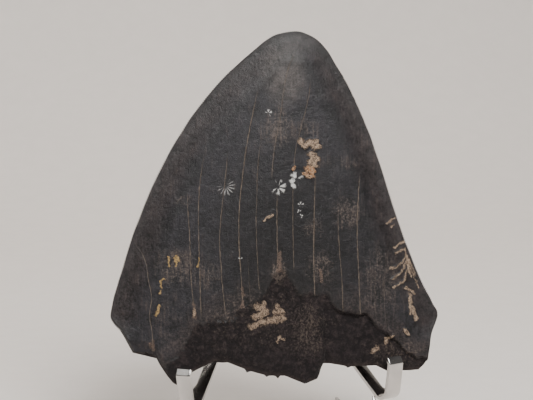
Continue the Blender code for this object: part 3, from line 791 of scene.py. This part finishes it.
# %% Lay the stains
# Each stain is centre x, centre h, half width, half height and strength.
STAINS = [(1.0, 88.0, 7.0, 8.0, 0.55), (10.0, 88.0, 5.0, 4.0, 0.45), (22.0, 76.0, 13.0, 2.6, 0.35),
          (24.5, 59.0, 7.0, 6.5, 0.6), (12.0, 54.0, 4.0, 5.0, 0.45), (15.0, 41.0, 7.0, 7.0, 0.5),
          (-31.0, 64.0, 3.6, 2.4, 0.5), (-34.0, 42.0, 9.0, 8.0, 0.6), (-24.0, 39.0, 6.0, 6.0, 0.5),
          (-38.0, 26.0, 8.0, 9.0, 0.35), (36.0, 36.0, 9.0, 14.0, 0.5), (0.5, 39.0, 3.5, 5.0, 0.8),
          (-5.0, 24.0, 26.0, 13.0, 0.45), (10.0, 20.0, 8.0, 12.0, 0.7), (40.0, 11.0, 12.0, 6.0, 0.6)]


def stain(centre_x, centre_h, half_width, half_height, strength):
    across_x = (x_mm - centre_x) / half_width
    up_h = (h_mm - centre_h) / half_height
    return kit.ease(across_x * across_x + up_h * up_h, 1.3, 0.0) * strength


stains = kit.biggest([stain(*entry) for entry in STAINS]) * on_front
dust = kit.ease(speckle + stains * 0.26 + (streaks - 0.5) * 0.30, 0.62, 0.84)
print("stains:", len(STAINS))

# %% [markdown]
# ## The fossil's colours
#
# The enamel is charcoal, cooler on the flat of the blade and warmer and paler in the bands along the edges.
# The broken root is nearly black with brown in its hollows. The layers go on in the order in which they came
# to be: mineral, silt stains, cracks, then the crusts on top. Among the enamel's coats, a paler patch below
# the tip is a painted highlight. A darker rim round the tip and a dark line along the inside of each edge
# band are painted shade.

# %% Name the colours
ENAMEL_COOL = (0.0120, 0.0112, 0.0142, 1.0)
ENAMEL_WARM = (0.0235, 0.0185, 0.0185, 1.0)
# The deepest enamel tone. It also gives the painted shade of the tip's rim and of the edge creases.
ENAMEL_DEEP = (0.0030, 0.0026, 0.0033, 1.0)
ROOT_DARK = (0.0090, 0.0064, 0.0075, 1.0)
ROOT_BROWN = (0.031, 0.0222, 0.0230, 1.0)
SILT = (0.150, 0.118, 0.092, 1.0)
STAIN_BROWN = (0.092, 0.071, 0.060, 1.0)
CRUST_BEIGE = (0.460, 0.340, 0.245, 1.0)
CRUST_SHADE = (0.120, 0.084, 0.060, 1.0)
GOLD_OCHRE = (0.360, 0.245, 0.110, 1.0)
RUST = (0.360, 0.165, 0.065, 1.0)
SHELL_WHITE = (0.600, 0.600, 0.590, 1.0)
# Colour of the painted highlight below the tip.
TIP_HIGHLIGHT_PAINT = (0.044, 0.038, 0.0365, 1.0)
VEIL_BROWN = (0.034, 0.0245, 0.0215, 1.0)
LUMP_BROWN = (0.150, 0.100, 0.074, 1.0)



def coats(colour, layers):
    """Lay coats on a colour in turn. Each has its cover from 0 to 1 and its own colour."""
    for cover, coat in layers:
        colour = kit.mix(cover, colour, coat)
    return colour


def grainy(low, high, first, second):
    """A colour that goes grain by grain from one to another."""
    return kit.mix(kit.ease(fine_grain, low, high), first, second)


print("colours named")

# %% Colour the enamel
edge_warmth = kit.ease(from_edge + (clouds - 0.5) * 8.0, 12.0, 4.0)
low_right = kit.ease(x_mm * 0.55 - h_mm * 0.30 + clouds * 14.0, -14.0, 8.0)
# Painted highlight: a paler patch of enamel below the tip, where the front soft box's glow lies.
painted_tip_highlight = stain(3.4, 106.5, 8.5, 11.5, 0.9) * on_front
veil = kit.ease(streaks + stains * 0.25 + (mottle - 0.5) * 0.6, 0.56, 0.76)
near_root = kit.ease(below_enamel_mm + (clouds - 0.5) * 16.0 + (mottle - 0.5) * 12.0, -12.0, 1.0)
# Painted shade: a darker rim round the tip, which dims the light that its edge bands catch.
tip_rim_painted_shade = kit.ease(from_edge + (mottle - 0.5) * 6.0, 6.0, 0.5) * kit.ease(h_mm, 84.0, 104.0)
# Painted shade: a dark line about 10 mm in from each cutting edge, in the crease where the edge band meets the
# flat of the blade.
crease_painted_shade = kit.ease(kit.maths("ABSOLUTE", from_edge - 10.0 + (clouds - 0.5) * 8.0), 2.4, 0.3)
dark_heart = stain(2.0, 48.0, 28.0, 36.0, 0.75) * on_front
enamel = coats(ENAMEL_COOL, [
    (edge_warmth * 0.75 + (streaks - 0.5) * 0.5, ENAMEL_WARM),
    (low_right * 0.35 * (1 - edge_warmth) + (fine_grain - 0.5) * 0.5, ENAMEL_DEEP),
    (painted_tip_highlight, TIP_HIGHLIGHT_PAINT),
    (veil * 0.55 * (1 - painted_tip_highlight), VEIL_BROWN),
    (near_root * 0.85 * on_front, kit.mix(kit.ease(speckle, 0.40, 0.66), ROOT_DARK, VEIL_BROWN)),
    (tip_rim_painted_shade * 0.6 * on_front, ENAMEL_DEEP),
    (crease_painted_shade * kit.ease(h_mm, 30.0, 44.0) * 0.45 * on_front, ENAMEL_DEEP),
    (dark_heart * (1 - painted_tip_highlight), ENAMEL_DEEP)])
shade = 1.0 + (mottle - 0.5) * 3.0 + (speckle - 0.5) * 3.4 + (fine_grain - 0.5) * 1.6 + (streaks - 0.5) * 0.9
enamel = kit.scale(enamel, shade)
print("nodes so far:", len(kit.tree.nodes))

# %% Colour the root
root_mask = kit.ease(below_enamel_mm + (mottle - 0.5) * 8.0 + (speckle - 0.5) * 7.0, -0.7, 0.7)
back_points = [(x / X_SPAN + 0.5, h / H_SPAN) for x, h in ENAMEL_BACK]
under_back = kit.curve((x_mm / X_SPAN) + 0.5, back_points) * H_SPAN
below_back = under_back - h_mm + (kit.noise(plane_place, 0.3, 3.0) - 0.5) * 2.0
bourlette = kit.ease(below_back, -0.3, 0.5) * (1 - on_front)
root_back = kit.ease(below_back, BOURLETTE_WIDTH - 0.4, BOURLETTE_WIDTH + 0.8) * (1 - on_front)
all_root = kit.maths("MAXIMUM", root_mask * on_front, root_back)
grit = kit.ease(speckle + (lumps - 0.5) * 0.6, 0.55, 0.68)
base_rim = kit.ease(above_base_mm + (speckle - 0.5) * 3.0, 1.6, 0.3) * on_front
root_colour = coats(ROOT_DARK, [
    (kit.ease(lumps + (speckle - 0.5) * 0.5, 0.42, 0.66), ROOT_BROWN),
    (grit * (stains * 0.8 + 0.2) * kit.ease(clouds, 0.36, 0.60), STAIN_BROWN),
    (chinks * 0.85, ROOT_DARK),
    (base_rim * 0.6, VEIL_BROWN)])
print("nodes so far:", len(kit.tree.nodes))

# %% Lay all the coats
dusty = dust * (stains * 1.1 + 0.25) + scuffs * (stains * 0.7 + 0.08) + tracks * (stains * 1.1 + 0.03)
body = coats(enamel, [
    (bourlette * 0.7, ENAMEL_DEEP),
    (all_root, root_colour),
    (dusty, STAIN_BROWN),
    (cracks, SILT),
    (silt_lumps * 0.8, grainy(0.40, 0.60, VEIL_BROWN, LUMP_BROWN)),
    (kit.maths("MAXIMUM", beige, fan * 0.9), grainy(0.38, 0.56, CRUST_SHADE, CRUST_BEIGE)),
    (gold, GOLD_OCHRE),
    (orange, grainy(0.40, 0.62, RUST, CRUST_BEIGE)),
    (scars, SHELL_WHITE)])
kit.set_input(kit.shader.inputs["Base Color"], body)
print("colour mixes:", sum(node.type == "MIX" for node in kit.tree.nodes))

# %% [markdown]
# ## Sheen and fine relief
#
# Enamel keeps a satin polish even after millions of years, so it is the smoothest surface here, while root
# and crusts are matt. Fine relief comes last: cracks sink, crusts stand up, the root is grainy, and the
# enamel has faint lengthwise lines.

# %% Set sheen and relief
ENAMEL_ROUGHNESS = 0.34
ENAMEL_IOR = 1.36
ROOT_ROUGHNESS = 0.74
CRUST_ROUGHNESS = 0.85
RELIEF_HEIGHT = 0.00022

all_crust = kit.biggest([beige, fan, gold, orange, scars])
roughness = ENAMEL_ROUGHNESS + (fine_grain - 0.5) * 0.3 + dust * 0.2
roughness = roughness + all_root * (ROOT_ROUGHNESS - ENAMEL_ROUGHNESS)
roughness = roughness + all_crust * (CRUST_ROUGHNESS - ENAMEL_ROUGHNESS) * (1 - all_root)
kit.set_input(kit.shader.inputs["Roughness"], kit.clamp(roughness))
relief = (all_root * ((lumps - 0.5) * 7.0 + (speckle - 0.5) * 3.5 - chinks * 1.5)
          + (1 - all_root) * ((fine_grain - 0.5) * 0.5 + (streaks - 0.5) * 0.2 + (mottle - 0.5) * 1.3)
          + all_crust * (fine_grain - 0.1) * 2.0 - cracks * 1.1)
bump = kit.node("Bump", None, {"Height": relief, "Distance": RELIEF_HEIGHT, "Strength": 1.0})
kit.set_input(kit.shader.inputs["Normal"], bump)
kit.shader.inputs["IOR"].default_value = ENAMEL_IOR
tooth.data.materials.clear()
tooth.data.materials.append(kit.material)
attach(tooth, "root")
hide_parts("tooth")
print("fossil nodes:", len(kit.tree.nodes))

# %% [markdown]
# ## The stand's bars
#
# The stand is four lengths of bright metal bar. Each is modelled as a smith would bend it: its section is
# drawn at one end and extruded along the straights, and Spin turns it round the bends. The edges are then
# eased, since a sharp edge would show no light.

# %% Bar sizes
GAP = 0.3 * MM
BAR_THICKNESS = 1.36 * MM
ARM_WIDTH = {"left": 4.2 * MM, "right": 4.8 * MM}
PRONG_WIDTH = {"left": 5.1 * MM, "right": 6.2 * MM}
PRONG_HEIGHT = {"left": 14.7 * MM, "right": 14.4 * MM}
PRONG_LEAN = {"left": 0.31, "right": 0.15}
WIDENING = {"left": (6.8 * MM, 9.0 * MM), "right": (2.4 * MM, 4.0 * MM)}
TIP_LENGTH = 2.0 * MM
TIP_BEND = radians(40.0)
TIP_BEND_RADIUS = 1.3 * MM
V_BEND_RADIUS = 3.4 * MM
V_POINT = {"left": Vector((-27.35, -30.7, 13.5)) * MM, "right": Vector((34.65, -31.5, 15.5)) * MM}
JOINT_POINT = Vector((3.65, 24.3, 61.3)) * MM
LEG_BAR = 1.1 * MM
LEG_RUN = 3.6 * MM
LEG_LEAN = radians(27.5)
HEEL_RADIUS = 2.5 * MM
LEG_REAR_Y = 36.7 * MM
EDGE_ROUND = 0.26 * MM
SHARP_ANGLE = radians(50)
SMOOTH_ANGLE = radians(35)
BEND_STEPS = 14
print("arm, mm:", ARM_WIDTH["left"] / MM, "x", BAR_THICKNESS / MM, "and leg, mm:", LEG_BAR / MM)

# %% Bend a bar
def begin_bar(name, width, thickness, start, slope):
    """Draw a bar's section at its first end, in a plane of run (Y) and height, with one edge at x = 0.

    The slope is the direction of the first straight. The new object stays in edit mode.
    """
    bpy.ops.object.select_all(action="DESELECT")
    bpy.ops.mesh.primitive_plane_add(size=1.0)
    piece = bpy.context.active_object
    piece.name = name
    edit_all()
    bpy.ops.transform.resize(value=(abs(width), thickness, 1.0))
    bpy.ops.transform.rotate(value=pi / 2 - slope, orient_axis="X", orient_type="GLOBAL",
                             center_override=(0, 0, 0))
    bpy.ops.transform.translate(value=(width / 2, start[0], start[1]))
    return piece


def straight(slope, length):
    """Extrude the end section along a straight."""
    bpy.ops.mesh.extrude_region_move(
        TRANSFORM_OT_translate={"value": Vector((0, cos(slope), sin(slope))) * length})


def turn(centre, angle):
    """Spin the end section round a bend. A positive angle bends towards +Z, and Spin counts the other way."""
    bpy.ops.mesh.spin(steps=BEND_STEPS, angle=-angle, center=(0, *centre), axis=(1, 0, 0))


def set_down(piece, place, angle=0.0):
    """Ease a bar's edges, turn it about the upright axis, move it to its place and keep it at the origin."""
    bpy.ops.mesh.select_all(action="SELECT")
    bpy.ops.mesh.remove_doubles(threshold=1e-7)
    bpy.ops.mesh.normals_make_consistent(inside=False)
    bpy.ops.object.mode_set(mode="OBJECT")
    edge_round = piece.modifiers.new("edge round", "BEVEL")
    edge_round.width = EDGE_ROUND
    edge_round.segments = 3
    edge_round.limit_method = "ANGLE"
    edge_round.angle_limit = SHARP_ANGLE
    bpy.ops.object.modifier_apply(modifier=edge_round.name)
    bpy.ops.object.shade_smooth_by_angle(angle=SMOOTH_ANGLE)
    piece.location = place
    piece.rotation_euler = (0, 0, angle)
    bpy.ops.object.transform_apply(location=True, rotation=True)
    print(piece.name, len(piece.data.polygons), "faces")


print("bar bender ready")

# %% [markdown]
# ## The two arms
#
# Each arm is one length. It starts as a prong that holds the tooth's root, hammered wider than the rest, with
# its tip bent back to the tooth. A tight bend under the root follows, and a long run that rises to the rear,
# where the two arms are cut to a mitre and soldered. They are not mirrored copies: a hand bent each of them a
# little differently.

# %% Bend the arms
bars = {}
bearings = {}
for side, sign in (("left", -1), ("right", 1)):
    to_joint = JOINT_POINT - V_POINT[side]
    to_joint.x += sign * GAP / 2
    reach = to_joint.xy.length
    splay = atan(abs(to_joint.x) / to_joint.y)
    tilt = atan(to_joint.z / reach)
    tilt = atan((to_joint.z + V_BEND_RADIUS * (1 / cos(tilt) - 1)) / reach)
    bearings[side] = (splay, tilt)

    lean = atan(PRONG_LEAN[side])
    down = lean - pi / 2
    tip_slope = down - TIP_BEND
    prong_foot = Vector((-V_BEND_RADIUS * cos(lean), V_BEND_RADIUS * (1 - sin(lean))))
    downwards = Vector((cos(down), sin(down)))
    rearwards = Vector((cos(lean), sin(lean)))
    tip_offset = (rearwards * TIP_BEND_RADIUS * (1 - cos(TIP_BEND)) - downwards * TIP_BEND_RADIUS * sin(TIP_BEND)
                  - Vector((cos(tip_slope), sin(tip_slope))) * TIP_LENGTH)
    prong_rise = (PRONG_HEIGHT[side] - prong_foot.y - tip_offset.y) / -downwards.y
    prong_top = prong_foot - downwards * prong_rise
    arm_start = V_BEND_RADIUS * sin(tilt)
    narrow_start, narrow_end = WIDENING[side]

    arm = begin_bar(side + "_arm_bar", sign * PRONG_WIDTH[side], BAR_THICKNESS, prong_top + tip_offset, tip_slope)
    straight(tip_slope, TIP_LENGTH)
    turn(prong_top + rearwards * TIP_BEND_RADIUS, TIP_BEND)
    straight(down, prong_rise)
    turn((0.0, V_BEND_RADIUS), tilt - down)
    straight(tilt, (narrow_start - arm_start) / cos(tilt))
    straight(tilt, (narrow_end - narrow_start) / cos(tilt))
    straight(tilt, (reach + PRONG_WIDTH[side] / tan(splay) - narrow_end) / cos(tilt) + BAR_THICKNESS)
    select_edges(lambda a, b: min(a.y, b.y) > narrow_end - BAR_THICKNESS / 2
                 and min(abs(a.x), abs(b.x)) > PRONG_WIDTH[side] / 2)
    bpy.ops.transform.translate(value=(sign * (ARM_WIDTH[side] - PRONG_WIDTH[side]), 0, 0))
    bpy.ops.mesh.select_all(action="SELECT")
    bpy.ops.mesh.bisect(plane_co=(0, reach, 0), plane_no=(-sign / tan(splay), 1, 0), use_fill=True,
                        clear_outer=True)
    set_down(arm, V_POINT[side], sign * splay)
    bars[side + "_arm"] = arm

# %% [markdown]
# ## The legs
#
# A thin square bar is soldered under each arm's inner edge. It leans forward on its way down, turns at the
# heel and lies along the shelf to the rear, so that the stand can't tip back.

# %% Bend the legs
for side, sign in (("left", -1), ("right", 1)):
    splay, tilt = bearings[side]
    arm_middle = V_POINT[side].z + LEG_RUN * tan(tilt) - V_BEND_RADIUS * (1 / cos(tilt) - 1)
    front_corner = LEG_BAR / 2 * ((cos(splay) + sin(splay)) * tan(tilt) + sin(LEG_LEAN))
    top = arm_middle - BAR_THICKNESS / 2 / cos(tilt) - front_corner - GAP
    top_y = V_POINT[side].y + LEG_RUN * cos(splay) + LEG_BAR / 2 * sin(splay)
    floor_middle = LEG_BAR / 2
    corner_run = -(top - floor_middle) * tan(LEG_LEAN)
    heel = Vector((corner_run + HEEL_RADIUS * tan(pi / 4 + LEG_LEAN / 2), floor_middle + HEEL_RADIUS))
    bend_start = heel + HEEL_RADIUS * Vector((-cos(LEG_LEAN), sin(LEG_LEAN)))
    down = -pi / 2 - LEG_LEAN
    leg = begin_bar(side + "_leg_bar", sign * LEG_BAR, LEG_BAR, (0.0, top), down)
    straight(down, hypot(bend_start.x, top - bend_start.y))
    turn(heel, -down)
    straight(0.0, LEG_REAR_Y - top_y - heel.x)
    set_down(leg, (V_POINT[side].x - sign * LEG_RUN * sin(splay), top_y, 0.0))
    bars[side + "_leg"] = leg

# %% [markdown]
# ## The bars' finish
#
# The bars are steel polished by hand and then handled for years. The base is a pale grey metal. A slow noise
# makes it duller where fingers touched it, and long fine scratches lie across it in two directions.

# %% Make the steel
STEEL_BRIGHT = (0.61, 0.59, 0.575, 1.0)
STEEL_DULL = (0.48, 0.46, 0.445, 1.0)
SCRATCH_DEPTH = 0.012 * MM

steel = Kit("polished_steel")
steel_place = steel.node("TexCoord", output=3)
steel_mm = steel.node("Mapping", None, {"Vector": steel_place, "Scale": (1 / MM, 1 / MM, 1 / MM)})
touch = steel.noise(steel_mm, 0.16, 3.0, 0.6)


def fine_lines(turned, stretch):
    """Long lines: a noise that is turned and then stretched."""
    lines_place = steel.node("Mapping", None, {"Vector": steel_mm, "Rotation": turned, "Scale": stretch})
    return steel.noise(lines_place, 1.0, 2.0)


scratches = (steel.ease(fine_lines((0.3, 0.5, 0.9), (9.0, 0.25, 9.0)), 0.66, 0.76) * 0.6
             + steel.ease(fine_lines((0.2, -0.4, -0.6), (0.2, 7.0, 7.0)), 0.68, 0.78) * 0.5)
steel_colour = steel.mix(steel.ease(touch, 0.40, 0.70) * 0.5, STEEL_BRIGHT, STEEL_DULL)
steel.set_input(steel.shader.inputs["Base Color"], steel_colour)
steel.shader.inputs["Metallic"].default_value = 1.0
steel_roughness = 0.13 + steel.ease(touch, 0.35, 0.75) * 0.10 + scratches * 0.08
steel.set_input(steel.shader.inputs["Roughness"], steel.clamp(steel_roughness))
steel_bump = steel.node("Bump", None, {"Height": scratches * -1.0, "Distance": SCRATCH_DEPTH, "Strength": 1.0})
steel.set_input(steel.shader.inputs["Normal"], steel_bump)

for node_name, piece in bars.items():
    piece.data.materials.clear()
    piece.data.materials.append(steel.material)
    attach(piece, "root")
    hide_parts(node_name)
print("bars dressed:", sorted(bars))

# %% [markdown]
# ## The floor
#
# A pale sheet of paper lies under the stand and curves up behind it, the plain sweep of a product table. It
# keeps a soft shadow and has no horizon to draw the eye from the object.

# %% Lay the sweep
SWEEP_WIDTH = 3.0
SWEEP_FRONT = -1.6
SWEEP_BACK = 0.55
SWEEP_RADIUS = 0.35
SWEEP_HEIGHT = 1.6
SWEEP_STEPS = 24
PAPER_DARKER = (0.83, 0.785, 0.745, 1.0)
PAPER_LIGHTER = (0.85, 0.805, 0.765, 1.0)
PAPER_ROUGHNESS = 0.9

bpy.ops.object.select_all(action="DESELECT")
bpy.ops.mesh.primitive_plane_add(size=1.0)
floor = bpy.context.active_object
floor.name = "paper_sweep"
edit_all()
bpy.ops.transform.resize(value=(SWEEP_WIDTH, SWEEP_BACK - SWEEP_FRONT, 1.0))
bpy.ops.transform.translate(value=(0, (SWEEP_BACK + SWEEP_FRONT) / 2, 0))
select_edges(lambda a, b: min(a.y, b.y) > 0)
bpy.ops.mesh.spin(steps=SWEEP_STEPS, angle=-pi / 2, center=(0, SWEEP_BACK, SWEEP_RADIUS), axis=(1, 0, 0))
bpy.ops.mesh.extrude_region_move(TRANSFORM_OT_translate={"value": (0, 0, SWEEP_HEIGHT)})
bpy.ops.object.mode_set(mode="OBJECT")
bpy.ops.object.shade_smooth()
paper = Kit("sweep_paper")
fibre = paper.noise(paper.node("TexCoord", output=3), 90.0, 4.0, 0.6)
paper_colour = paper.mix(paper.ease(fibre, 0.3, 0.7), PAPER_DARKER, PAPER_LIGHTER)
paper.set_input(paper.shader.inputs["Base Color"], paper_colour)
paper.shader.inputs["Roughness"].default_value = PAPER_ROUGHNESS
floor.data.materials.append(paper.material)
print("sweep faces:", len(floor.data.polygons))
